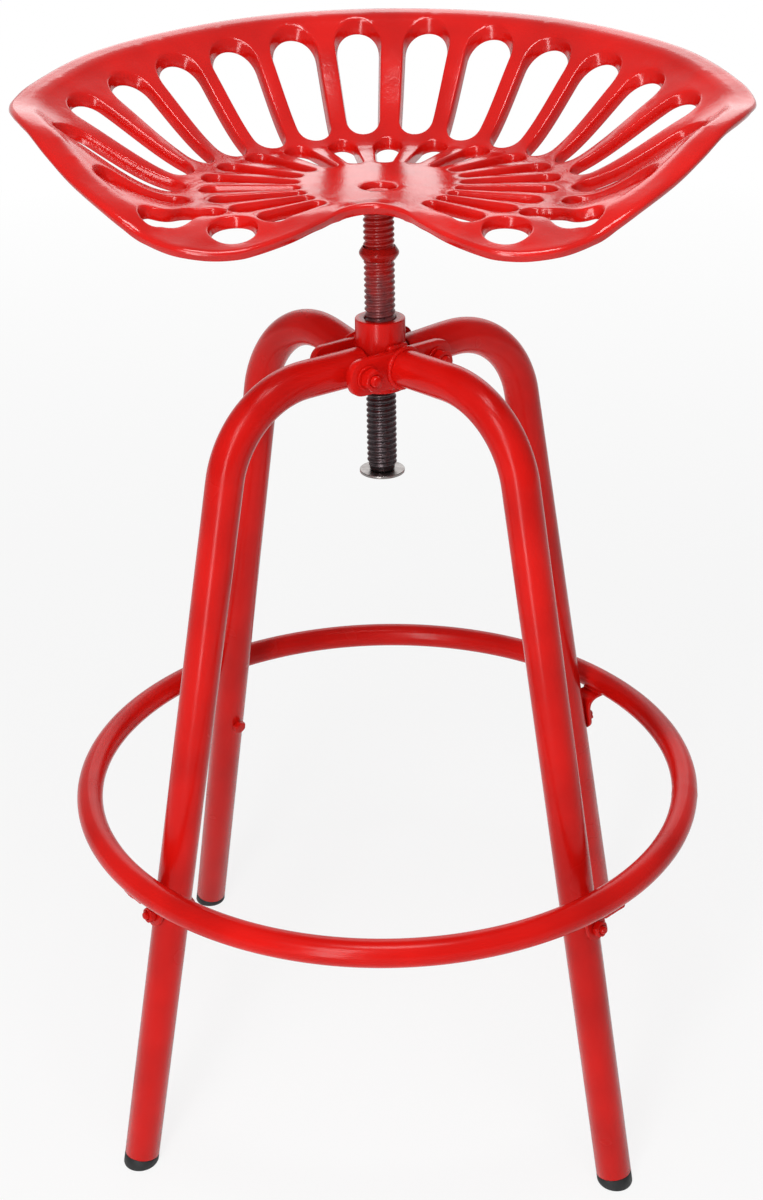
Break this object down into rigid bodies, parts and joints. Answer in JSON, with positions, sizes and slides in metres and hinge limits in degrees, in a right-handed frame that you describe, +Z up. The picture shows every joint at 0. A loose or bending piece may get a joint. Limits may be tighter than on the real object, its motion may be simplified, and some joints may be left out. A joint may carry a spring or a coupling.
{
  "type": "tractor seat stool",
  "caption": "Bar-height stool with a slotted cast tractor seat on a jack screw, splayed bent tube legs and a round foot ring.",
  "frame": {"origin": "on the floor, on the axis of the jack screw, which is the centre of the stool's plan", "axes": "+Z up along the jack screw, +Y to the back of the seat, +X to the right of the seat"},
  "size_m": [0.4838, 0.4658, 0.767],
  "materials": {
    "red_enamel": "gloss red powder coat on steel",
    "enamelled_casting": "gloss red enamel over an as-cast, slightly pebbled surface",
    "dark_steel": "oiled dark steel thread with red overspray near the seat",
    "bright_zinc": "bright zinc plate",
    "black_rubber": "matt black moulded rubber"
  },
  "bodies": {
    "base": {"hub_tube": "red_enamel", "strap_front": "red_enamel", "strap_rear": "red_enamel", "leg_bush_front_left": "red_enamel", "hub_bolt_front_left": "red_enamel", "hub_washer_front_left": "red_enamel", "hub_nut_front_left": "red_enamel", "leg_bush_back_right": "red_enamel", "hub_bolt_back_right": "red_enamel", "hub_washer_back_right": "red_enamel", "hub_nut_back_right": "red_enamel", "leg_front_left": "red_enamel", "foot_cap_front_left": "black_rubber", "ring_tab_front_left": "red_enamel", "ring_bolt_front_left": "red_enamel", "ring_nut_front_left": "red_enamel", "leg_front_right": "red_enamel", "foot_cap_front_right": "black_rubber", "ring_tab_front_right": "red_enamel", "ring_bolt_front_right": "red_enamel", "ring_nut_front_right": "red_enamel", "leg_back_left": "red_enamel", "foot_cap_back_left": "black_rubber", "ring_tab_back_left": "red_enamel", "ring_bolt_back_left": "red_enamel", "ring_nut_back_left": "red_enamel", "leg_back_right": "red_enamel", "foot_cap_back_right": "black_rubber", "ring_tab_back_right": "red_enamel", "ring_bolt_back_right": "red_enamel", "ring_nut_back_right": "red_enamel", "foot_ring": "red_enamel"},
    "lift": {"end_disc": "bright_zinc", "end_screw": "bright_zinc"},
    "swivel": {"jack_screw": "dark_steel", "stop_collar": "red_enamel", "seat_collar": "red_enamel", "seat": "enamelled_casting"}
  },
  "joints": [
    {"name": "seat_lift", "type": "slide", "parent": "base", "child": "lift", "axis": [0, 0, 1], "range_m": [-0.0391, 0.0581]},
    {"name": "seat_turn", "type": "hinge", "parent": "lift", "child": "swivel", "pos_m": [0, 0, 0.59], "axis": [0, 0, 1], "range_deg": [-3510, 5220]}
  ],
  "couplings": [
    {"joint": "seat_lift", "follows": "seat_turn", "m_per_rad": 0.00063662}
  ]
}
